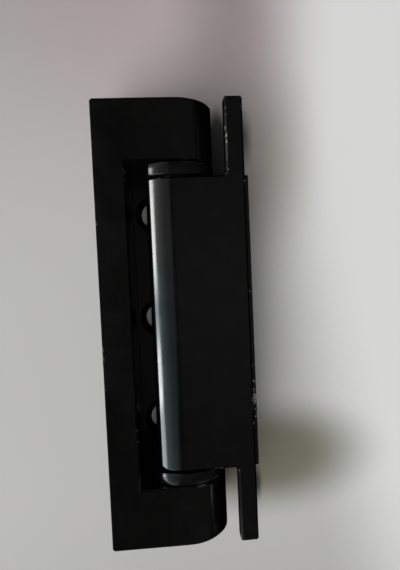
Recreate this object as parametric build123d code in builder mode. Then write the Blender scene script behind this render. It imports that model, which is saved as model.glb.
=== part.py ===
"""Three-knuckle window hinge, lying closed on its back.

X runs across the hinge, Y along the pin and Z up. The origin is on the frame leaf's mounting face,
straight under the pin axis and halfway along the hinge. Sizes are in millimetres and degrees.
"""

import os
from math import acos, degrees

from build123d import *

# Knuckles and fits
hinge_length = 95.0  # along the pin, over the two outer knuckles
knuckle_radius = 9.1  # outside of the three knuckles and of the bush flanges
outer_knuckle_length = 12.9
end_play = 0.4  # gap between the sash knuckle and each bush flange
running_clearance = 0.05  # radial, between the pin and the bushes
seat_clearance = 0.02  # radial, round what is pushed or screwed into its hole
edge_break = 0.4  # bevel of the coated front edges

# Frame leaf
frame_reach = 16.5  # from the pin axis to the bar's outer edge
bar_gap = 0.8  # between the bar and the turning sash knuckle
base_thickness = 2.6  # floor of the recess
floor_gap = 0.4  # between the sash knuckle and the floor of the recess
foot_setback = 2.5  # how far the foot stops short of the knuckles' outermost line
frame_hole_offset = 4.8  # from the pin axis towards the bar
frame_hole_pitch = 25.5
frame_hole_count = 3
frame_hole_radius = 3.2
frame_sink_radius = 4.6
sink_angle = 90.0

# Sash leaf
nose_cut = 3.1  # depth of the flat on the bar side of the sash knuckle and of the bush flanges
nose_rounding = 2.2  # along both sides of that flat
web_thickness = 11.5  # from the front face, between the knuckle and the plate
web_fillet = 1.5  # under the web, along the plate
plate_gap = 2.0  # between the outer knuckles and the plate
plate_thickness = 3.85  # at the front, where it runs out into the ears
ear_thickness = 3.0
ear_corner = 0.5  # rounding of the ears' upright corners
notch_radius = 1.0  # cutter radius in the corner between web and ear
pad_height = 0.8  # raised seat on the plate's outer side
pad_drop = 1.0  # from the front face to the pad
sash_hole_pitch = 40.0
sash_hole_height = 4.6  # above the mounting plane
sash_hole_radius = 2.1

# Pin, bushes, caps and lock screws
pin_radius = 4.0
pin_chamfer = 0.6
bush_radius = 5.0  # outside of the sleeve
flange_thickness = 3.0
flange_bevel = 0.5
cap_height = 3.0
cap_wall = 1.0
cap_recess = 0.3  # from the knuckle's end face to the cap
cap_gap = 0.5  # between the cap and the ends of the bush and of the pin
lock_screw_radius = 2.5
lock_screw_recess = 0.6  # from the knuckle's outside to the screw
lock_screw_offset = 18.0  # from mid length
lock_screw_chamfer = 0.6
socket_flats = 2.5
socket_depth = 1.6

# Heights and stations that follow from the sizes above
axis_height = base_thickness + floor_gap + knuckle_radius
face_height = axis_height + knuckle_radius
recess_length = hinge_length - 2 * outer_knuckle_length
recess_edge = -(knuckle_radius + bar_gap)
arm_length = recess_length - 2 * (flange_thickness + end_play)
foot_reach = knuckle_radius - foot_setback
nose_flat = knuckle_radius - nose_cut
plate_offset = knuckle_radius + plate_gap
bush_end = hinge_length / 2 - cap_recess - cap_height - cap_gap
pin_length = 2 * bush_end
bush_bore = pin_radius + running_clearance
lock_screw_length = knuckle_radius - lock_screw_recess - pin_radius
pin_axis = Axis((0, 0, axis_height), (0, 1, 0))

# Section across the pin, with the pin axis as its origin, and the shared front face
section = Plane((0, 0, axis_height), x_dir=(1, 0, 0), z_dir=(0, -1, 0))
front_face = Plane.XY.offset(face_height)

os.makedirs("parts", exist_ok=True)


def lock_screw_plane(side):
    """Plane across a lock screw at the pin axis, its normal out of the sash knuckle's underside."""
    return Plane((0, side * lock_screw_offset, axis_height), x_dir=(0, 1, 0), z_dir=(0, 0, -1))


def save(piece, name):
    """Label a finished piece and write its STEP file."""
    piece.label = name
    export_step(piece, f"parts/{name}.step")


# Frame leaf: one extruded section, milled to leave the bar, the floor and two knuckles
with BuildPart() as frame_leaf:
    foot_angle = -degrees(acos(foot_reach / knuckle_radius))
    with BuildSketch(section):
        with BuildLine():
            crown = CenterArc((0, 0), knuckle_radius, foot_angle, 90 - foot_angle)
            Polyline(
                crown @ 1,
                (-frame_reach, knuckle_radius),
                (-frame_reach, -axis_height),
                (foot_reach, -axis_height),
                crown @ 0,
            )
        make_face()
    extrude(amount=hinge_length / 2, both=True)
    with BuildSketch(Plane.XY.offset(base_thickness)):
        with Locations((recess_edge, 0)):
            Rectangle(2 * frame_reach, recess_length, align=(Align.MIN, Align.CENTER))
    extrude(amount=face_height, mode=Mode.SUBTRACT)

    front = frame_leaf.faces().sort_by(Axis.Z)[-1]
    crown_edges = front.edges().filter_by(Axis.Y).filter_by_position(Axis.X, -edge_break, edge_break)
    bar_corners = frame_leaf.edges().filter_by(Axis.Z).group_by(Axis.X)[0]
    chamfer(front.edges() - crown_edges + bar_corners, length=edge_break)

    with BuildSketch(section):
        Circle(bush_radius + seat_clearance)
    extrude(amount=hinge_length / 2, both=True, mode=Mode.SUBTRACT)
    with Locations(Plane((-frame_hole_offset, 0, base_thickness))):
        with GridLocations(0, frame_hole_pitch, 1, frame_hole_count):
            CounterSinkHole(frame_hole_radius, frame_sink_radius, base_thickness, sink_angle)
save(frame_leaf.part, "frame_leaf")

# Outline of the sash knuckle, shared by the bush flanges: round, with a flat towards the bar
with BuildSketch(section) as nose:
    Circle(knuckle_radius)
    with Locations((-nose_flat, 0)):
        Rectangle(nose_cut, 2 * knuckle_radius, align=(Align.MAX, Align.CENTER), mode=Mode.SUBTRACT)
    fillet(vertices().group_by(Axis.X)[0], radius=nose_rounding)

# Sash leaf: one extruded section of knuckle, web and plate, whose front runs out into two ears
with BuildPart() as sash_leaf:
    with BuildSketch(section):
        add(nose.sketch_local)
        with Locations((0, knuckle_radius)):
            Rectangle(plate_offset, web_thickness, align=(Align.MIN, Align.MAX))
        with Locations((plate_offset, knuckle_radius)):
            Rectangle(plate_thickness, face_height, align=(Align.MIN, Align.MAX))
        with Locations((plate_offset, knuckle_radius - pad_drop)):
            Rectangle(plate_thickness + pad_height, face_height - pad_drop, align=(Align.MIN, Align.MAX))
        web_root = vertices().sort_by_distance((plate_offset, knuckle_radius - web_thickness))[0]
        fillet(web_root, radius=web_fillet)
    extrude(amount=arm_length / 2, both=True)

    with BuildSketch(front_face):
        Rectangle(plate_offset + plate_thickness, arm_length, align=(Align.MIN, Align.CENTER))
        with Locations((plate_offset, 0)):
            Rectangle(plate_thickness, hinge_length, align=(Align.MIN, Align.CENTER))
        notches = [(plate_offset, side * arm_length / 2) for side in (-1, 1)]
        fillet([vertices().sort_by_distance(corner)[0] for corner in notches], radius=notch_radius)
        tips = vertices().group_by(Axis.Y)
        fillet(tips[0] + tips[-1], radius=ear_corner)
    extrude(amount=-ear_thickness)

    front = sash_leaf.faces().filter_by(Axis.Z).sort_by(Axis.Z)[-1]
    crown_edge = front.edges().filter_by(Axis.Y).sort_by(Axis.X)[0]
    chamfer(front.edges() - ShapeList([crown_edge]), length=edge_break)  # also follows the knuckle's rims

    with BuildSketch(section):
        Circle(pin_radius + seat_clearance)
    extrude(amount=arm_length / 2, both=True, mode=Mode.SUBTRACT)
    with Locations(Plane((plate_offset, 0, sash_hole_height), x_dir=(0, 1, 0), z_dir=(-1, 0, 0))):
        with GridLocations(sash_hole_pitch, 0, 2, 1):
            Hole(sash_hole_radius, depth=plate_thickness + pad_height)
    for side in (-1, 1):
        with BuildSketch(lock_screw_plane(side)):
            Circle(lock_screw_radius + seat_clearance)
        extrude(amount=knuckle_radius, mode=Mode.SUBTRACT)
save(sash_leaf.part, "sash_leaf")

# Hinge pin: plain ground rod, locked in the sash knuckle
with BuildPart() as hinge_pin:
    with BuildSketch(section):
        Circle(pin_radius)
    extrude(amount=pin_length / 2, both=True)
    chamfer(hinge_pin.edges().filter_by(GeomType.CIRCLE), length=pin_chamfer)
save(hinge_pin.part, "hinge_pin")

for name, side in (("upper", 1), ("lower", -1)):
    # Flanged bush: the sleeve is pushed into the outer knuckle, the flange spaces the sash knuckle
    flange_face = side * recess_length / 2
    with BuildPart() as bush:
        with BuildSketch(Plane.XY.offset(axis_height)):
            with BuildLine():
                Polyline(
                    (bush_bore, flange_face - side * flange_thickness),
                    (knuckle_radius, flange_face - side * flange_thickness),
                    (knuckle_radius, flange_face),
                    (bush_radius, flange_face),
                    (bush_radius, side * bush_end),
                    (bush_bore, side * bush_end),
                    close=True,
                )
            make_face()
            chamfer(vertices().group_by(Axis.X)[-1], length=flange_bevel)
        revolve(axis=pin_axis)
        extrude(nose.sketch, amount=hinge_length, both=True, mode=Mode.INTERSECT)
    save(bush.part, f"{name}_bush")

    # Cap: a thin-walled plug that closes the pin bore, set just under the knuckle's end face
    cap_top = side * (hinge_length / 2 - cap_recess)
    with BuildPart() as cap:
        with BuildSketch(Plane.XY.offset(axis_height)):
            with BuildLine():
                Polyline(
                    (0, cap_top),
                    (bush_radius, cap_top),
                    (bush_radius, cap_top - side * cap_height),
                    (bush_radius - cap_wall, cap_top - side * cap_height),
                    (bush_radius - cap_wall, cap_top - side * cap_wall),
                    (0, cap_top - side * cap_wall),
                    close=True,
                )
            make_face()
        revolve(axis=pin_axis)
    save(cap.part, f"{name}_cap")

    # Lock screw: a socket grub screw through the underside of the sash knuckle, bearing on the pin
    screw_plane = lock_screw_plane(side)
    with BuildPart() as lock_screw:
        with BuildSketch(screw_plane.offset(pin_radius)):
            Circle(lock_screw_radius)
        extrude(amount=lock_screw_length)
        rims = lock_screw.edges().filter_by(GeomType.CIRCLE)
        chamfer(rims.sort_by_distance(screw_plane.origin)[0], length=lock_screw_chamfer)
        with BuildSketch(screw_plane.offset(pin_radius + lock_screw_length)):
            RegularPolygon(socket_flats / 2, 6, major_radius=False)
        extrude(amount=-socket_depth, mode=Mode.SUBTRACT)
    save(lock_screw.part, f"{name}_lock_screw")

print(f"pin axis {axis_height:.3f} mm above the mounting face, front face {face_height:.3f} mm")
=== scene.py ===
"""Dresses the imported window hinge: rounded black leaves, bushes, plugs and pin on a pale table.

Lengths are in metres in the CAD frame: X across the hinge, Y along the pin and Z up from the
mounting face. Angles are in degrees.
"""

import logging
import math
from contextlib import contextmanager
from dataclasses import dataclass
from enum import Enum
from typing import Iterator, Sequence

import bpy
from mathutils import Matrix, Vector


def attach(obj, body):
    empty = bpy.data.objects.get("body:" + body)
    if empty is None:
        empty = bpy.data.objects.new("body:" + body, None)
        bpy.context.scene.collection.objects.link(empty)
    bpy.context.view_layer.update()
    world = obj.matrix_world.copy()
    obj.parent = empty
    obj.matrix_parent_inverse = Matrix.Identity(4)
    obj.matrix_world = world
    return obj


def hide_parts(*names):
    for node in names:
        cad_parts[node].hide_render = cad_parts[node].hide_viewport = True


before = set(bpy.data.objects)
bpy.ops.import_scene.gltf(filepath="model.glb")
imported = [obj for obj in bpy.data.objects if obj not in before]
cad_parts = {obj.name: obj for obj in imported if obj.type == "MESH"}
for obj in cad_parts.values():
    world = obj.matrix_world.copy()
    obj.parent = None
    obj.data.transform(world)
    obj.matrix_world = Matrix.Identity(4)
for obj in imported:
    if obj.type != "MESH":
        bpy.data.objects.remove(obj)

LOG = logging.getLogger("window_hinge")
EDGE_BAND = "edge_band"
MM = 0.001

Triple = tuple[float, float, float]
Colour = Triple
Socket = bpy.types.NodeSocket
Axes = tuple[Socket, Socket, Socket]  # X, Y and Z of a vector
Value = Socket | float | Colour


class Body(str, Enum):
    """The two rigid bodies of the hinge."""

    FRAME = "frame"
    SASH = "sash"


class Slot(str, Enum):
    """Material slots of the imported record."""

    BLACK_COAT = "black_coat"
    BUSH_PLASTIC = "bush_plastic"
    CAP_PLASTIC = "cap_plastic"
    PIN_STEEL = "pin_steel"
    SCREW_STEEL = "screw_steel"


class LampUse(Enum):
    """What a lamp is for: the even light on surfaces, or its mirror image in the gloss."""

    SURFACE = "surface"
    GLOSS = "gloss"


class Effect(str, Enum):
    """Shader node groups that the finishes share."""

    PEEL = "coat_peel"
    WEAR = "edge_wear"
    DUST = "settled_dust"
    LINES = "grinding_lines"


class MixKind(Enum):
    """What a Mix node mixes: its data type and the places of its two inputs and its result."""

    NUMBER = ("FLOAT", 2, 3, 0)
    COLOUR = ("RGBA", 6, 7, 2)


@dataclass(frozen=True)
class Ramp:
    """A smooth change from one level to another, as a value goes from start to end."""

    start: float
    end: float
    first: float = 0.0
    last: float = 1.0


class NodeSheet:
    """A node tree that is filled by short calls."""

    def __init__(self, tree: bpy.types.NodeTree) -> None:
        """Start on an emptied tree."""
        self.tree = tree
        tree.nodes.clear()

    def add(
        self, kind: str, values: dict[str, object] | None = None, **settings: object
    ) -> bpy.types.Node:
        """Place a node.

        Args:
            kind: the node's type name.
            values: numbers for its input sockets, by socket name.
            settings: attributes of the node itself.

        Returns:
            The new node.
        """
        node = self.tree.nodes.new(kind)
        for name, value in settings.items():
            setattr(node, name, value)
        for name, value in (values or {}).items():
            node.inputs[name].default_value = value
        return node

    def link(self, source: Socket, target: Socket) -> None:
        """Join two sockets."""
        self.tree.links.new(source, target)

    def feed(self, target: Socket, value: Value) -> None:
        """Link an input to a socket, or set it to a number or a colour.

        Args:
            target: the input socket.
            value: what it gets.
        """
        if isinstance(value, bpy.types.NodeSocket):
            self.link(value, target)
        elif isinstance(value, tuple):
            target.default_value = (*value, 1.0)
        else:
            target.default_value = value

    def math(self, operation: str, first: Value, second: Value = 0.0) -> Socket:
        """Place a Math node on two sockets or numbers.

        Args:
            operation: the Math node's operation.
            first: its first value.
            second: its second value, for an operation on two.

        Returns:
            The result socket.
        """
        node = self.add("ShaderNodeMath", operation=operation)
        self.feed(node.inputs[0], first)
        self.feed(node.inputs[1], second)
        return node.outputs[0]

    def product(self, first: Socket, *others: Value) -> Socket:
        """Multiply a socket by other sockets or numbers in turn.

        Args:
            first: the first factor.
            others: the other factors.

        Returns:
            The product.
        """
        for other in others:
            first = self.math("MULTIPLY", first, other)
        return first

    def mix(
        self, kind: MixKind, factor: Socket, first: Value, second: Value, blend: str = "MIX"
    ) -> Socket:
        """Mix two numbers or two colours.

        Args:
            kind: which of the two.
            factor: where the second one shows.
            first: the one below.
            second: the one over it.
            blend: how colours are mixed.

        Returns:
            The mixed socket.
        """
        data_type, first_at, second_at, result_at = kind.value
        node = self.add("ShaderNodeMix", data_type=data_type, blend_type=blend)
        self.link(factor, node.inputs["Factor"])
        self.feed(node.inputs[first_at], first)
        self.feed(node.inputs[second_at], second)
        return node.outputs[result_at]

    def ramp(self, value: Socket, ramp: Ramp) -> Socket:
        """Map a value by a ramp.

        Args:
            value: the socket to map.
            ramp: the change that it drives.

        Returns:
            The mapped socket.
        """
        ends = {
            "From Min": ramp.start,
            "From Max": ramp.end,
            "To Min": ramp.first,
            "To Max": ramp.last,
        }
        node = self.add("ShaderNodeMapRange", ends, interpolation_type="SMOOTHSTEP")
        self.link(value, node.inputs["Value"])
        return node.outputs["Result"]

    def noise(self, vector: Socket, scale: Value, detail: float) -> Socket:
        """Place a noise texture.

        Args:
            vector: its coordinates.
            scale: a number or a socket, in turns per metre.
            detail: octaves.

        Returns:
            The noise value.
        """
        node = self.add("ShaderNodeTexNoise", {"Detail": detail})
        self.link(vector, node.inputs["Vector"])
        self.feed(node.inputs["Scale"], scale)
        return node.outputs[0]

    def split(self, vector: Socket) -> Axes:
        """Split a vector.

        Args:
            vector: the socket to split.

        Returns:
            Its X, Y and Z sockets.
        """
        node = self.add("ShaderNodeSeparateXYZ")
        self.link(vector, node.inputs["Vector"])
        return node.outputs["X"], node.outputs["Y"], node.outputs["Z"]


def new_material(name: str) -> tuple[bpy.types.Material, NodeSheet, bpy.types.Node, Socket]:
    """Make a material with a Principled shader and Object coordinates.

    Args:
        name: the material's name.

    Returns:
        The material, its sheet, the shader node and the coordinate socket.
    """
    material = bpy.data.materials.new(name)
    material.use_nodes = True
    sheet = NodeSheet(material.node_tree)
    shader = sheet.add("ShaderNodeBsdfPrincipled")
    output = sheet.add("ShaderNodeOutputMaterial")
    sheet.link(shader.outputs["BSDF"], output.inputs["Surface"])
    return material, sheet, shader, sheet.add("ShaderNodeTexCoord").outputs["Object"]


class EffectKit:
    """Builds each shared node group once and places it in materials."""

    GRAIN_SHARE = 0.22  # height of the grain beside that of the waves
    BLOTCHES_PER_WAVE = 0.7
    BLOTCH_RAMP = Ramp(0.35, 0.7)
    CHIP_SHARE = 0.5
    RUN_SHARE = 0.5
    RUNS_PER_CHIP = 0.12
    CHIP_RAMP = Ramp(0.0, 0.05)
    SPECK_RAMP = Ramp(0.2, 0.1)  # over the distance from a speck's middle
    UPWARD_RAMP = Ramp(0.3, 0.95)  # over the Z of a face's normal
    FILM_SCALE = 240.0
    FILM_RAMP = Ramp(0.4, 0.75)
    TONE_RAMP = Ramp(0.3, 0.7)

    def __init__(self) -> None:
        """Build the four groups."""
        self.groups: dict[Effect, bpy.types.NodeTree] = {
            Effect.PEEL: self._peel(),
            Effect.WEAR: self._wear(),
            Effect.DUST: self._dust(),
            Effect.LINES: self._lines(),
        }

    @staticmethod
    def _group(
        effect: Effect, inputs: dict[str, float], outputs: Sequence[str]
    ) -> tuple[NodeSheet, bpy.types.Node, bpy.types.Node]:
        """Make an empty group with a Vector input.

        Args:
            effect: which group it is.
            inputs: defaults of its value inputs, by name.
            outputs: names of its value outputs.

        Returns:
            The sheet, the input node and the output node.
        """
        tree = bpy.data.node_groups.new(effect.value, "ShaderNodeTree")
        sockets = tree.interface
        sockets.new_socket("Vector", in_out="INPUT", socket_type="NodeSocketVector")
        for name, default in inputs.items():
            socket = sockets.new_socket(name, in_out="INPUT", socket_type="NodeSocketFloat")
            socket.default_value = default
        for name in outputs:
            sockets.new_socket(name, in_out="OUTPUT", socket_type="NodeSocketFloat")
        sheet = NodeSheet(tree)
        return sheet, sheet.add("NodeGroupInput"), sheet.add("NodeGroupOutput")

    def _peel(self) -> bpy.types.NodeTree:
        """Orange peel of a sprayed coat: a fine grain over long soft waves, and handled patches.

        Returns:
            The group.
        """
        sheet, given, result = self._group(
            Effect.PEEL, {"Grain": 2600.0, "Waves": 160.0}, ("Height", "Patches")
        )
        vector, wave_scale = given.outputs["Vector"], given.outputs["Waves"]
        grain = sheet.noise(vector, given.outputs["Grain"], detail=2.0)
        waves = sheet.noise(vector, wave_scale, detail=1.0)
        blotch_scale = sheet.product(wave_scale, self.BLOTCHES_PER_WAVE)
        blotches = sheet.noise(vector, blotch_scale, detail=4.0)
        height = sheet.math("ADD", sheet.product(grain, self.GRAIN_SHARE), waves)
        sheet.link(height, result.inputs["Height"])
        sheet.link(sheet.ramp(blotches, self.BLOTCH_RAMP), result.inputs["Patches"])
        return sheet.tree

    def _wear(self) -> bpy.types.NodeTree:
        """Rubbed edges: the narrow edge bands of a piece, broken up by two noises.

        Returns:
            The group.
        """
        sheet, given, result = self._group(
            Effect.WEAR, {"Band": 0.0, "Chips": 900.0, "Least": 0.5}, ("Mask",)
        )
        vector, chip_scale = given.outputs["Vector"], given.outputs["Chips"]
        chips = sheet.noise(vector, chip_scale, detail=4.0)
        runs = sheet.noise(vector, sheet.product(chip_scale, self.RUNS_PER_CHIP), detail=2.0)
        both = sheet.math(
            "ADD", sheet.product(chips, self.CHIP_SHARE), sheet.product(runs, self.RUN_SHARE)
        )
        over = sheet.math("SUBTRACT", both, given.outputs["Least"])
        mask = sheet.product(sheet.ramp(over, self.CHIP_RAMP), given.outputs["Band"])
        sheet.link(mask, result.inputs["Mask"])
        return sheet.tree

    def _dust(self) -> bpy.types.NodeTree:
        """Dust on upward faces: scattered specks and a thin uneven film.

        Returns:
            The group.
        """
        sheet, given, result = self._group(
            Effect.DUST, {"Specks": 900.0, "Share": 0.06}, ("Specks", "Film")
        )
        vector = given.outputs["Vector"]
        cells = sheet.add("ShaderNodeTexVoronoi")
        sheet.link(vector, cells.inputs["Vector"])
        sheet.link(given.outputs["Specks"], cells.inputs["Scale"])
        pick = sheet.add("ShaderNodeSeparateColor")
        sheet.link(cells.outputs["Color"], pick.inputs["Color"])
        kept = sheet.math("LESS_THAN", pick.outputs["Red"], given.outputs["Share"])
        dot = sheet.ramp(cells.outputs["Distance"], self.SPECK_RAMP)
        _, _, facing_up = sheet.split(sheet.add("ShaderNodeTexCoord").outputs["Normal"])
        upward = sheet.ramp(facing_up, self.UPWARD_RAMP)
        film = sheet.ramp(sheet.noise(vector, self.FILM_SCALE, detail=5.0), self.FILM_RAMP)
        sheet.link(sheet.product(kept, dot, upward), result.inputs["Specks"])
        sheet.link(sheet.product(film, upward), result.inputs["Film"])
        return sheet.tree

    def _lines(self) -> bpy.types.NodeTree:
        """Grinding lines: noise drawn out round the Y axis.

        Returns:
            The group.
        """
        sheet, given, result = self._group(
            Effect.LINES, {"Lines": 9000.0, "Draw": 0.02}, ("Height", "Tone")
        )
        across, along, rise = sheet.split(given.outputs["Vector"])
        drawn = sheet.add("ShaderNodeCombineXYZ")
        sheet.link(sheet.product(across, given.outputs["Draw"]), drawn.inputs["X"])
        sheet.link(along, drawn.inputs["Y"])
        sheet.link(sheet.product(rise, given.outputs["Draw"]), drawn.inputs["Z"])
        lines = sheet.noise(drawn.outputs["Vector"], given.outputs["Lines"], detail=3.0)
        sheet.link(lines, result.inputs["Height"])
        sheet.link(sheet.ramp(lines, self.TONE_RAMP), result.inputs["Tone"])
        return sheet.tree

    def place(
        self, sheet: NodeSheet, effect: Effect, vector: Socket, **values: float
    ) -> bpy.types.Node:
        """Place a group in a material.

        Args:
            sheet: the material's sheet.
            effect: which group.
            vector: coordinates for it.
            values: numbers for its inputs.

        Returns:
            The group node.
        """
        node = sheet.add("ShaderNodeGroup", node_tree=self.groups[effect])
        sheet.link(vector, node.inputs["Vector"])
        for name, value in values.items():
            node.inputs[name].default_value = value
        return node


@dataclass(frozen=True)
class Finish:
    """What every finish has: a slot and a base colour."""

    slot: Slot
    colour: Colour

    def start(self) -> tuple[bpy.types.Material, NodeSheet, bpy.types.Node, Socket]:
        """Make the finish's material, with its sheet, shader node and coordinates."""
        return new_material(f"{self.slot.value}_finish")

    @staticmethod
    def emboss(
        sheet: NodeSheet, shader: bpy.types.Node, height: Socket, depth: float, strength: float
    ) -> None:
        """Drive a shader's normal from a height.

        Args:
            sheet: the material's sheet.
            shader: the shader whose normal is driven.
            height: the height socket.
            depth: bump distance.
            strength: bump strength.
        """
        bump = sheet.add("ShaderNodeBump", {"Distance": depth, "Strength": strength})
        sheet.link(height, bump.inputs["Height"])
        sheet.link(bump.outputs["Normal"], shader.inputs["Normal"])


@dataclass(frozen=True)
class BlackCoat(Finish):
    """Glossy black coat on aluminium, rubbed through at a few edges, with a little dust."""

    bare: Colour = (0.42, 0.42, 0.41)
    least_wear: float = 0.6
    dust: Colour = (0.08, 0.08, 0.075)
    film_share: float = 0.01
    speck_share: float = 0.06
    gloss: tuple[float, float] = (0.12, 0.18)
    peel_depth: float = 0.012 * MM
    peel_strength: float = 0.35

    def material(self, kit: EffectKit) -> bpy.types.Material:
        """Build the coat's material.

        Args:
            kit: the shared effects.

        Returns:
            The material.
        """
        material, sheet, shader, vector = self.start()
        peel = kit.place(sheet, Effect.PEEL, vector)
        wear = kit.place(sheet, Effect.WEAR, vector, Least=self.least_wear)
        band = sheet.add("ShaderNodeAttribute", attribute_name=EDGE_BAND)
        sheet.link(band.outputs["Fac"], wear.inputs["Band"])
        rubbed = wear.outputs["Mask"]
        dust = kit.place(sheet, Effect.DUST, vector)
        film = sheet.product(dust.outputs["Film"], self.film_share)
        specks = sheet.product(dust.outputs["Specks"], self.speck_share)
        colour = sheet.mix(MixKind.COLOUR, film, self.colour, self.dust)
        colour = sheet.mix(MixKind.COLOUR, specks, colour, self.dust)
        colour = sheet.mix(MixKind.COLOUR, rubbed, colour, self.bare)
        gloss = sheet.ramp(peel.outputs["Patches"], Ramp(0.0, 1.0, *self.gloss))
        sheet.link(colour, shader.inputs["Base Color"])
        sheet.link(rubbed, shader.inputs["Metallic"])
        sheet.link(gloss, shader.inputs["Roughness"])
        self.emboss(sheet, shader, peel.outputs["Height"], self.peel_depth, self.peel_strength)
        return material


@dataclass(frozen=True)
class MouldedPlastic(Finish):
    """Black moulded plastic with a fine grain and faint scuffs."""

    scuff: Colour = (0.06, 0.06, 0.06)
    scuff_share: float = 0.04
    gloss: tuple[float, float] = (0.28, 0.4)
    mirror: float = 0.5
    grain: float = 5200.0
    waves: float = 300.0
    grain_depth: float = 0.02 * MM
    grain_strength: float = 0.4

    def material(self, kit: EffectKit) -> bpy.types.Material:
        """Build the plastic's material.

        Args:
            kit: the shared effects.

        Returns:
            The material.
        """
        material, sheet, shader, vector = self.start()
        shader.inputs["Specular IOR Level"].default_value = self.mirror
        peel = kit.place(sheet, Effect.PEEL, vector, Grain=self.grain, Waves=self.waves)
        patches = peel.outputs["Patches"]
        scuffs = sheet.product(patches, self.scuff_share)
        colour = sheet.mix(MixKind.COLOUR, scuffs, self.colour, self.scuff)
        gloss = sheet.ramp(patches, Ramp(0.0, 1.0, *self.gloss))
        sheet.link(colour, shader.inputs["Base Color"])
        sheet.link(gloss, shader.inputs["Roughness"])
        self.emboss(sheet, shader, peel.outputs["Height"], self.grain_depth, self.grain_strength)
        return material


@dataclass(frozen=True)
class GroundSteel(Finish):
    """Steel with grinding lines round the Y axis and slightly uneven tone."""

    light: Colour = (0.75, 0.75, 0.76)
    gloss: tuple[float, float] = (0.22, 0.34)
    lines: float = 9000.0
    line_depth: float = 0.004 * MM
    line_strength: float = 0.3

    def material(self, kit: EffectKit) -> bpy.types.Material:
        """Build the steel's material.

        Args:
            kit: the shared effects.

        Returns:
            The material.
        """
        material, sheet, shader, vector = self.start()
        shader.inputs["Metallic"].default_value = 1.0
        lines = kit.place(sheet, Effect.LINES, vector, Lines=self.lines)
        tone = lines.outputs["Tone"]
        colour = sheet.mix(MixKind.COLOUR, tone, self.colour, self.light)
        gloss = sheet.ramp(tone, Ramp(0.0, 1.0, *self.gloss))
        sheet.link(colour, shader.inputs["Base Color"])
        sheet.link(gloss, shader.inputs["Roughness"])
        self.emboss(sheet, shader, lines.outputs["Height"], self.line_depth, self.line_strength)
        return material


def choose(piece: bpy.types.Object) -> None:
    """Make one piece the only selected object, and the active one.

    Args:
        piece: the object to select.
    """
    bpy.ops.object.select_all(action="DESELECT")
    piece.select_set(True)
    bpy.context.view_layer.objects.active = piece


@contextmanager
def editing(piece: bpy.types.Object) -> Iterator[None]:
    """Edit one piece with everything in it selected, and leave edit mode afterwards.

    Args:
        piece: the object to edit.
    """
    choose(piece)
    bpy.ops.object.mode_set(mode="EDIT")
    bpy.ops.mesh.select_all(action="SELECT")
    yield
    bpy.ops.object.mode_set(mode="OBJECT")


def merged_copy(
    node: str, name: str, nearest: float = 0.002 * MM, flat_angle: float = 1.0
) -> bpy.types.Object:
    """Copy a CAD node and merge its loose triangles into whole faces.

    Args:
        node: the CAD node to copy.
        name: the new piece's name.
        nearest: points nearer than this are merged.
        flat_angle: triangles that meet at less than this angle become one face.

    Returns:
        The new piece, in the node's place.
    """
    piece = bpy.data.objects.new(name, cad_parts[node].data.copy())
    bpy.context.scene.collection.objects.link(piece)
    piece.data.materials.clear()
    with editing(piece):
        bpy.ops.mesh.customdata_custom_splitnormals_clear()
        bpy.ops.mesh.remove_doubles(threshold=nearest)
        bpy.ops.mesh.dissolve_limited(angle_limit=math.radians(flat_angle))
    return piece


def round_edges(
    piece: bpy.types.Object, edge_radius: float, sharp_angle: float = 60.0, segments: int = 2
) -> None:
    """Round the edges that the CAD leaves sharp.

    Args:
        piece: the piece to round.
        edge_radius: width of the rounding.
        sharp_angle: least angle of an edge that is rounded.
        segments: faces across the rounding.
    """
    choose(piece)
    bevel = piece.modifiers.new("edge_rounding", "BEVEL")
    bevel.width = edge_radius
    bevel.segments = segments
    bevel.limit_method = "ANGLE"
    bevel.angle_limit = math.radians(sharp_angle)
    bevel.use_clamp_overlap = False
    bpy.ops.object.modifier_apply(modifier=bevel.name)


def smooth_faces(
    piece: bpy.types.Object,
    smooth_angle: float,
    rolled: Sequence[int] = (),
    broad_weight: int = 100,
) -> None:
    """Shade a piece smoothly, with its broad faces flat.

    Args:
        piece: the piece to shade.
        smooth_angle: edges up to this angle are shaded round.
        rolled: edges that are shaded round whatever their angle.
        broad_weight: how far broad faces prevail over narrow ones, up to 100.
    """
    choose(piece)
    bpy.ops.object.shade_smooth_by_angle(angle=math.radians(smooth_angle))
    for index in rolled:
        piece.data.edges[index].use_edge_sharp = False
    weighted = piece.modifiers.new("flat_faces", "WEIGHTED_NORMAL")
    weighted.keep_sharp = True
    weighted.weight = broad_weight
    bpy.ops.object.modifier_apply(modifier=weighted.name)


def settle(
    piece: bpy.types.Object, node: str, body: Body, finish: bpy.types.Material
) -> None:
    """Give a piece its finish and its body, and hide the CAD node that it stands for.

    Args:
        piece: the finished piece.
        node: the CAD node it replaces.
        body: the body it rides on.
        finish: its material.
    """
    piece.data.materials.clear()
    piece.data.materials.append(finish)
    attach(piece, body.value)
    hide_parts(node)
    LOG.info("%s: %d faces, rides on %s", piece.name, len(piece.data.polygons), body.value)


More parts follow.
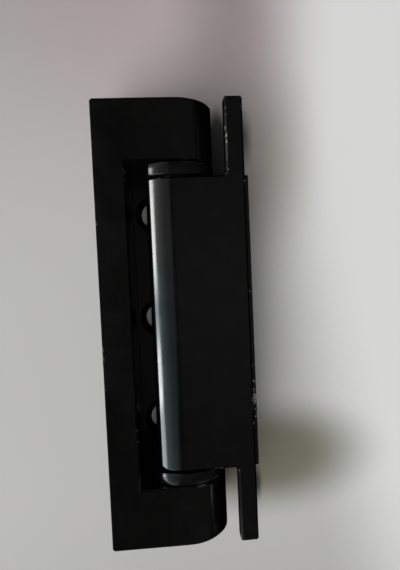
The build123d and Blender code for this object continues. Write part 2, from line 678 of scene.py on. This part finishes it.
@dataclass(frozen=True)
class Leaf:
    """One of the two coated leaves."""

    node: str
    body: Body
    wear: float  # how far the coat is rubbed off the edge bands, up to 1
    rubbed_corner: float = 0.0  # radius of the knuckle's lower left corner, seen from the front
    edge_radius: float = 0.12 * MM
    smooth_angle: float = 30.0
    bevel_reach: float = 0.6 * MM  # from the knuckle's end to past its bevel
    rim_reach: float = 2.5 * MM  # from the knuckle's end to past its rubbed rim
    rim_stop: float = 0.5 * MM  # where the rubbed rim meets the flat front
    band_width: float = 0.6 * MM  # faces narrower than this are edge bands
    band_depth: float = 1.2 * MM  # of the edge bands, below the leaf's front

    def build(self) -> bpy.types.Object:
        """Make the leaf with rounded edges and mark where its coat is rubbed.

        Returns:
            The leaf.
        """
        piece = merged_copy(self.node, f"{self.node}_coated")
        round_edges(piece, self.edge_radius)
        rolled: list[int] = []
        if self.rubbed_corner:
            self._rub_corner(piece)
            rolled = self._rubbed_rim(piece)
        smooth_faces(piece, self.smooth_angle, rolled)
        self._mark_edge_bands(piece)
        return piece

    def _nose(self, piece: bpy.types.Object) -> tuple[float, float]:
        """Find the left end of the knuckle's lower rim.

        Args:
            piece: the leaf with its edges rounded.

        Returns:
            The X where the rubbed corner starts, and the Y of the knuckle's lower end.
        """
        points = [vertex.co for vertex in piece.data.vertices]
        start = min(point.x for point in points) + self.rubbed_corner
        return start, min(point.y for point in points if point.x < start)

    def _rub_corner(self, piece: bpy.types.Object) -> None:
        """Round the lower end of the knuckle's left outline, as seen from the front.

        Args:
            piece: the leaf with its edges rounded.
        """
        radius = self.rubbed_corner
        start, end = self._nose(piece)
        for vertex in piece.data.vertices:
            depth = start - vertex.co.x
            if depth > 0.0 and vertex.co.y < end + self.bevel_reach:
                vertex.co.y += radius - math.sqrt(max(radius ** 2 - depth ** 2, 0.0))

    def _rubbed_rim(self, piece: bpy.types.Object) -> list[int]:
        """Find the edges of the knuckle's lower rim.

        Args:
            piece: the leaf with its corner rubbed.

        Returns:
            The indices of the rim's edges.
        """
        _, end = self._nose(piece)
        rim = {
            vertex.index
            for vertex in piece.data.vertices
            if vertex.co.x < self.rim_stop and abs(vertex.co.y - end) < self.rim_reach
        }
        return [edge.index for edge in piece.data.edges if rim.issuperset(edge.vertices)]

    def _mark_edge_bands(self, piece: bpy.types.Object) -> None:
        """Mark the narrow faces along the leaf's front edges, where its coat is rubbed first.

        Args:
            piece: the finished leaf.
        """
        mesh = piece.data
        bands = mesh.attributes.new(EDGE_BAND, "FLOAT", "FACE")
        lowest = max(vertex.co.z for vertex in mesh.vertices) - self.band_depth
        for face in mesh.polygons:
            corners = [mesh.vertices[index].co for index in face.vertices]
            girth = sum((corner - corners[at - 1]).length for at, corner in enumerate(corners))
            width = 2.0 * face.area / girth  # as of a long strip
            rubbed = width < self.band_width and face.center.z > lowest
            bands.data[face.index].value = self.wear if rubbed else 0.0

    def dress(self, piece: bpy.types.Object, coat: bpy.types.Material) -> None:
        """Coat the leaf and hang it on its body."""
        settle(piece, self.node, self.body, coat)


@dataclass(frozen=True)
class PinGear:
    """The pin with what carries, closes and locks it, above and below."""

    sides: tuple[str, str] = ("upper", "lower")
    edge_radius: float = 0.15 * MM
    smooth_angle: float = 50.0

    def build(self) -> dict[str, bpy.types.Object]:
        """Make the bushes, plugs, screws and pin.

        Returns:
            The pieces by the node that each replaces.
        """
        kinds = ("bush", "cap", "lock_screw")
        nodes = [f"{side}_{kind}" for side in self.sides for kind in kinds]
        pieces = {node: merged_copy(node, f"{node}_piece") for node in (*nodes, "hinge_pin")}
        for piece in pieces.values():
            round_edges(piece, self.edge_radius)
            smooth_faces(piece, self.smooth_angle)
        return pieces

    def dress(
        self, pieces: dict[str, bpy.types.Object], materials: dict[Slot, bpy.types.Material]
    ) -> None:
        """Give each piece its finish and body.

        Args:
            pieces: the pieces by node.
            materials: the finishes' materials by slot.
        """
        looks = {
            "bush": (Slot.BUSH_PLASTIC, Body.FRAME),
            "cap": (Slot.CAP_PLASTIC, Body.FRAME),
            "screw": (Slot.SCREW_STEEL, Body.SASH),
            "pin": (Slot.PIN_STEEL, Body.SASH),
        }
        for node, piece in pieces.items():
            slot, body = looks[node.rsplit("_", 1)[-1]]
            settle(piece, node, body, materials[slot])


@dataclass(frozen=True)
class Lamp:
    """A soft rectangular lamp that faces the hinge, placed and sized by angles seen from there."""

    name: str
    azimuth: float
    elevation: float
    width: float
    height: float
    radiance: float
    use: LampUse = LampUse.GLOSS
    tint: Colour = (1.0, 1.0, 1.0)
    distance: float = 0.7

    def hang(self, aim: Vector) -> None:
        """Add the lamp.

        Args:
            aim: the point that it faces.
        """
        turn, rise = math.radians(self.azimuth), math.radians(self.elevation)
        level = math.cos(rise)
        outward = Vector((level * math.cos(turn), level * math.sin(turn), math.sin(rise)))
        data = bpy.data.lights.new(self.name, "AREA")
        data.shape = "RECTANGLE"
        data.size = 2 * self.distance * math.tan(math.radians(self.width / 2))
        data.size_y = 2 * self.distance * math.tan(math.radians(self.height / 2))
        data.energy = self.radiance * math.pi * data.size * data.size_y
        data.color = self.tint
        lamp = bpy.data.objects.new(self.name, data)
        lamp.location = aim + outward * self.distance
        lamp.rotation_euler = outward.to_track_quat("Z", "Y").to_euler()
        lamp.visible_camera = False
        lamp.visible_diffuse = self.use is LampUse.SURFACE
        lamp.visible_glossy = self.use is LampUse.GLOSS
        bpy.context.scene.collection.objects.link(lamp)


@dataclass(frozen=True)
class Shade:
    """Painted shade: a soft darker patch of the table, full in its core and fading to its reach."""

    centre: tuple[float, float]
    reach: tuple[float, float]
    colour: Colour
    core: float = 0.0

    def lay(self, sheet: NodeSheet, vector: Socket, under: Socket) -> Socket:
        """Paint the shade: darken a colour inside the patch.

        Args:
            sheet: the table's sheet.
            vector: the table's coordinates.
            under: the colour that is darkened.

        Returns:
            The darkened colour.
        """
        place = {"Location": (*self.centre, 0.0), "Scale": (*self.reach, 1.0)}
        scaled = sheet.add("ShaderNodeMapping", place, vector_type="TEXTURE")
        sheet.link(vector, scaled.inputs["Vector"])
        far = sheet.add("ShaderNodeVectorMath", operation="LENGTH")
        sheet.link(scaled.outputs["Vector"], far.inputs[0])
        inside = sheet.ramp(far.outputs["Value"], Ramp(1.0, self.core))
        return sheet.mix(MixKind.COLOUR, inside, under, self.colour, blend="MULTIPLY")


@dataclass(frozen=True)
class Room:
    """The light round the table: even on surfaces, and by direction in the gloss.

    The gloss mirrors a pale wall to the left, a dim ceiling, and the floor low down and at the
    corners. The ramps run over the X, Y or Z of a direction of length 1.
    """

    ambient: float = 0.14
    backdrop: Colour = (0.62, 0.62, 0.61)
    tint: Colour = (0.99, 1.0, 0.99)
    wall_edge: Ramp = Ramp(-0.15, -0.26)
    wall_lean: float = 0.3  # of its edge, towards the lower end
    wall_lean_start: float = 0.14
    wall_rise: Ramp = Ramp(0.92, 0.55, 0.34, 1.15)
    wall_foot: Ramp = Ramp(0.15, 0.35, 0.05, 1.0)
    ceiling_across: Ramp = Ramp(-0.12, 0.06, 0.05, 0.12)
    ceiling_along: Ramp = Ramp(0.35, 0.05, 0.6, 1.0)
    ceiling_shift: float = 0.05  # of its brightest part, towards the lower end
    ceiling_foot: Ramp = Ramp(0.2, 0.45, 0.02, 1.0)
    horizon: Ramp = Ramp(-0.25, 0.0, 0.05, 1.0)
    corner_across: Ramp = Ramp(0.3, 0.45)
    corner_along: Ramp = Ramp(0.56, 0.68)
    floor_across: Ramp = Ramp(-0.2, -0.4)
    floor_rise: Ramp = Ramp(-0.24, -0.34)
    floor_level: float = 0.5
    cool_tint: Colour = (0.7, 1.0, 0.96)  # of the wall's middle part
    cool_upper: Ramp = Ramp(0.06, -0.12)
    cool_lower: Ramp = Ramp(-0.6, -0.48)
    cool_rise: Ramp = Ramp(0.05, 0.2)

    def build(self) -> None:
        """Make the room the scene's world."""
        world = bpy.data.worlds.new("room")
        bpy.context.scene.world = world
        world.use_nodes = True
        sheet = NodeSheet(world.node_tree)
        rays = sheet.add("ShaderNodeLightPath")
        mirrored = rays.outputs["Is Glossy Ray"]
        direction = sheet.split(sheet.add("ShaderNodeTexCoord").outputs["Generated"])
        wall = self._wall(sheet, direction)
        level = self._mirror_level(sheet, direction, wall)
        cool = sheet.product(self._cool(sheet, direction, wall), mirrored)
        colour = sheet.mix(MixKind.COLOUR, cool, self.tint, self.cool_tint)
        strength = sheet.mix(MixKind.NUMBER, mirrored, self.ambient, level)
        light = sheet.add("ShaderNodeBackground")
        sheet.link(colour, light.inputs["Color"])
        sheet.link(strength, light.inputs["Strength"])
        backdrop = sheet.add("ShaderNodeBackground", {"Color": (*self.backdrop, 1.0)})
        chosen = sheet.add("ShaderNodeMixShader")
        sheet.link(rays.outputs["Is Camera Ray"], chosen.inputs["Fac"])
        sheet.link(light.outputs["Background"], chosen.inputs[1])
        sheet.link(backdrop.outputs["Background"], chosen.inputs[2])
        output = sheet.add("ShaderNodeOutputWorld")
        sheet.link(chosen.outputs["Shader"], output.inputs["Surface"])

    def _wall(self, sheet: NodeSheet, direction: Axes) -> Socket:
        """Mask the directions of the pale wall.

        Args:
            sheet: the world's sheet.
            direction: its X, Y and Z.

        Returns:
            The mask.
        """
        across, along, _ = direction
        past = sheet.math("MINIMUM", sheet.math("ADD", along, self.wall_lean_start), 0.0)
        edge = sheet.math("SUBTRACT", across, sheet.product(past, self.wall_lean))
        return sheet.ramp(edge, self.wall_edge)

    def _cool(self, sheet: NodeSheet, direction: Axes, wall: Socket) -> Socket:
        """Mask the wall's middle part, which has a cooler tint.

        Args:
            sheet: the world's sheet.
            direction: its X, Y and Z.
            wall: the mask of the wall.

        Returns:
            The mask.
        """
        _, along, rise = direction
        upper = sheet.ramp(along, self.cool_upper)
        lower = sheet.ramp(along, self.cool_lower)
        return sheet.product(upper, wall, lower, sheet.ramp(rise, self.cool_rise))

    def _mirror_level(self, sheet: NodeSheet, direction: Axes, wall: Socket) -> Socket:
        """Work out how bright each direction is in the gloss.

        Args:
            sheet: the world's sheet.
            direction: its X, Y and Z.
            wall: the mask of the wall.

        Returns:
            The brightness.
        """
        across, along, rise = direction
        wall_level = sheet.product(
            sheet.ramp(rise, self.wall_rise), sheet.ramp(rise, self.wall_foot)
        )
        off_middle = sheet.math("ABSOLUTE", sheet.math("ADD", along, self.ceiling_shift))
        ceiling = sheet.product(
            sheet.ramp(across, self.ceiling_across),
            sheet.ramp(off_middle, self.ceiling_along),
            sheet.ramp(rise, self.ceiling_foot),
        )
        level = sheet.product(
            sheet.mix(MixKind.NUMBER, wall, ceiling, wall_level), sheet.ramp(rise, self.horizon)
        )
        corners = sheet.product(
            sheet.ramp(sheet.math("ABSOLUTE", across), self.corner_across),
            sheet.ramp(sheet.math("ABSOLUTE", along), self.corner_along),
        )
        floor = sheet.product(
            sheet.ramp(across, self.floor_across), sheet.ramp(rise, self.floor_rise)
        )
        around = sheet.math("MAXIMUM", corners, floor)
        return sheet.math("ADD", level, sheet.product(around, self.floor_level))


@dataclass(frozen=True)
class Stage:
    """The pale table, the room and the lamps."""

    room: Room = Room()
    aim: Triple = (0.0, 0.0, 20.0 * MM)
    table_size: float = 2.4
    table_drop: float = 0.1 * MM  # below the mounting face
    table_roughness: float = 0.7
    # Painted light: the table's colour goes from the darker first colour to the lighter second one
    # towards the right, along a slanted edge, standing in for light that is brighter there.
    table_colours: tuple[Colour, Colour] = ((0.495, 0.49, 0.485), (0.735, 0.735, 0.73))
    painted_light_drift: Ramp = Ramp(0.0235, 0.052)  # painted light across the table
    painted_light_slant: float = 0.2
    mottle_scale: float = 700.0
    mottle_depth: float = 0.003
    # Painted shade in the table's colour: soft shadows above, beside and below the hinge, a dark
    # patch standing for shadow in the gap by the upper lug, a pinkish cast above the hinge, and
    # dimming towards the top and the bottom.
    painted_shades: tuple[Shade, ...] = (
        Shade((-0.05, 0.13), (0.11, 0.13), (0.64, 0.62, 0.62)),
        Shade((0.020, 0.076), (0.024, 0.075), (0.53, 0.48, 0.48)),
        Shade((0.006, 0.054), (0.024, 0.024), (0.78, 0.76, 0.76)),
        Shade((-0.008, 0.078), (0.050, 0.050), (1.0, 0.84, 0.90)),
        Shade((0.027, 0.038), (0.016, 0.030), (0.79, 0.78, 0.72)),
        Shade((0.012, 0.041), (0.0034, 0.013), (0.07, 0.07, 0.07), core=0.55),
        Shade((0.0184, 0.0445), (0.0032, 0.0095), (0.25, 0.25, 0.25), core=0.05),
        Shade((0.0187, -0.0452), (0.0019, 0.0064), (0.13, 0.13, 0.13), core=0.1),
        Shade((0.021, -0.038), (0.036, 0.0185), (0.33, 0.325, 0.25), core=0.28),
        Shade((0.01, -0.12), (0.16, 0.085), (0.72, 0.72, 0.72)),
    )
    lamps: tuple[Lamp, ...] = (
        Lamp("soft_key", azimuth=222.0, elevation=58.0, width=40.0, height=42.0, radiance=5.7,
             use=LampUse.SURFACE, distance=4.0),
        Lamp("overhead", azimuth=0.0, elevation=87.2, width=30.0, height=1.6, radiance=18.0,
             use=LampUse.SURFACE),
        Lamp("far_glint", azimuth=-30.5, elevation=9.0, width=1.6, height=12.0, radiance=2.3),
        Lamp("window_top", azimuth=171.7, elevation=22.0, width=19.5, height=16.5, radiance=17.0),
        Lamp("window_gap", azimuth=186.5, elevation=22.0, width=10.0, height=16.5, radiance=4.5,
             tint=(0.86, 0.96, 1.0)),
        Lamp("window_middle", azimuth=195.8, elevation=22.0, width=8.5, height=16.5, radiance=18.0),
        Lamp("window_bottom", azimuth=206.0, elevation=22.0, width=12.0, height=16.5, radiance=6.4,
             tint=(0.93, 0.99, 1.0)),
        Lamp("window_end", azimuth=230.0, elevation=19.0, width=36.0, height=18.0, radiance=4.5),
    )

    def build(self) -> None:
        """Lay the table, light the room and hang the lamps."""
        bpy.ops.object.select_all(action="DESELECT")
        bpy.ops.mesh.primitive_plane_add(
            size=self.table_size, location=(0.0, 0.0, -self.table_drop)
        )
        table = bpy.context.object
        table.name = "table"
        table.visible_glossy = False
        table.data.materials.append(self._table_finish())
        self.room.build()
        for lamp in self.lamps:
            lamp.hang(Vector(self.aim))

    def _table_finish(self) -> bpy.types.Material:
        """Make the table's matt, faintly mottled surface, with painted light and painted shadows.

        Returns:
            The material.
        """
        material, sheet, shader, vector = new_material("table_finish")
        shader.inputs["Roughness"].default_value = self.table_roughness
        across, along, _ = sheet.split(vector)
        mottle = sheet.product(
            sheet.noise(vector, self.mottle_scale, detail=3.0), self.mottle_depth
        )
        # Painted light: lighter towards the right, along a slanted edge that the mottle makes
        # uneven.
        slant = sheet.math("ADD", across, sheet.product(along, self.painted_light_slant))
        painted_light_drift = sheet.ramp(sheet.math("ADD", slant, mottle), self.painted_light_drift)
        colour = sheet.mix(MixKind.COLOUR, painted_light_drift, *self.table_colours)
        for shade in self.painted_shades:
            colour = shade.lay(sheet, vector, colour)
        sheet.link(colour, shader.inputs["Base Color"])
        return material


@dataclass(frozen=True)
class PhotoCamera:
    """A wide lens held close over the hinge, as the picture was taken."""

    place: Triple = (-0.0020707, 0.0127376, 0.1168916)
    forward: Triple = (0.0685161, -0.0447521, -0.9966458)
    up: Triple = (0.0465935, 0.9980468, -0.0416118)
    lens: float = 28.9015
    sensor: float = 36.0
    nearest: float = 5.0 * MM

    def build(self) -> None:
        """Add the camera and make it the scene's own."""
        data = bpy.data.cameras.new("photo_camera")
        data.sensor_fit = "VERTICAL"
        data.sensor_height = self.sensor
        data.lens = self.lens
        data.clip_start = self.nearest
        camera = bpy.data.objects.new("photo_camera", data)
        back = -Vector(self.forward).normalized()
        right = Vector(self.up).cross(back).normalized()
        turn = Matrix((right, back.cross(right), back)).transposed()
        camera.matrix_world = Matrix.Translation(self.place) @ turn.to_4x4()
        bpy.context.scene.collection.objects.link(camera)
        bpy.context.scene.camera = camera


def main() -> None:
    """Build the stage, the hinge's pieces and their finishes."""
    logging.basicConfig(level=logging.INFO, format="%(name)s: %(message)s")
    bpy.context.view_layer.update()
    PhotoCamera().build()
    Stage().build()
    bpy.context.scene.view_settings.view_transform = "Standard"

    kit = EffectKit()
    finishes = (
        BlackCoat(Slot.BLACK_COAT, (0.0014, 0.0014, 0.0013)),
        MouldedPlastic(
            Slot.BUSH_PLASTIC, (0.002, 0.002, 0.0022), gloss=(0.14, 0.18), mirror=0.25
        ),
        MouldedPlastic(Slot.CAP_PLASTIC, (0.012, 0.012, 0.012), gloss=(0.42, 0.55)),
        GroundSteel(Slot.PIN_STEEL, (0.6, 0.6, 0.61)),
        GroundSteel(
            Slot.SCREW_STEEL, (0.08, 0.08, 0.085), light=(0.14, 0.14, 0.145), gloss=(0.3, 0.42)
        ),
    )
    materials = {finish.slot: finish.material(kit) for finish in finishes}
    leaves = (
        Leaf("frame_leaf", Body.FRAME, wear=0.15),
        Leaf("sash_leaf", Body.SASH, wear=0.65, rubbed_corner=2.5 * MM),
    )
    for leaf in leaves:
        leaf.dress(leaf.build(), materials[Slot.BLACK_COAT])
    gear = PinGear()
    gear.dress(gear.build(), materials)


if __name__ == "__main__":
    main()
